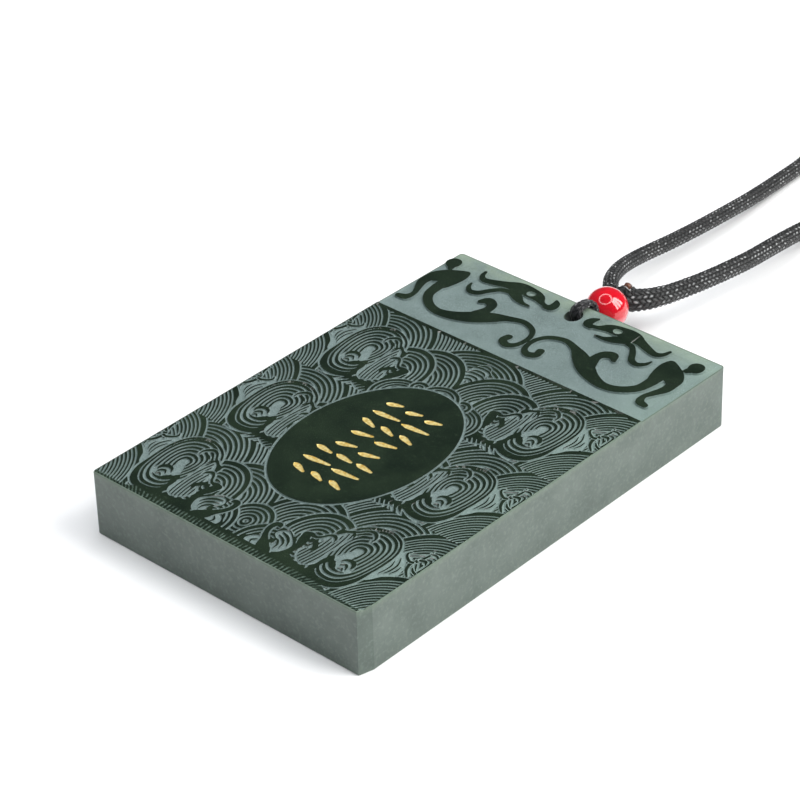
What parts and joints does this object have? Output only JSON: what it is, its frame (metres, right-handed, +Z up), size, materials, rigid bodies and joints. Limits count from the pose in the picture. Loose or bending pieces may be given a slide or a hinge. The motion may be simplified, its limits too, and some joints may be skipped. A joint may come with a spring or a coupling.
{
  "type": "carved jade plaque pendant",
  "caption": "Flat rectangular jade plaque with a dragon band, wave ground and plain oval, on a thin loop with a red bead and a braided neck cord.",
  "frame": {"origin": "under the middle of the plaque, on the surface that it lies on", "axes": "+Y along the plaque towards the end that holds the cord, +X across it, +Z up out of the carved face"},
  "size_m": [0.039, 0.1534, 0.0096],
  "materials": {
    "jade": "dark green nephrite, polished where raised and frosted grey-green where cut back",
    "gilding": "matt gold paint in shallow strokes",
    "agate": "glossy red agate",
    "braid": "black braided nylon cord"
  },
  "bodies": {
    "root": {"plaque": "jade", "bead": "agate", "bail_loop": "braid", "cord_knot": "braid", "neck_cord_far": "braid", "neck_cord_near": "braid", "cord_coil": "braid"}
  },
  "joints": []
}
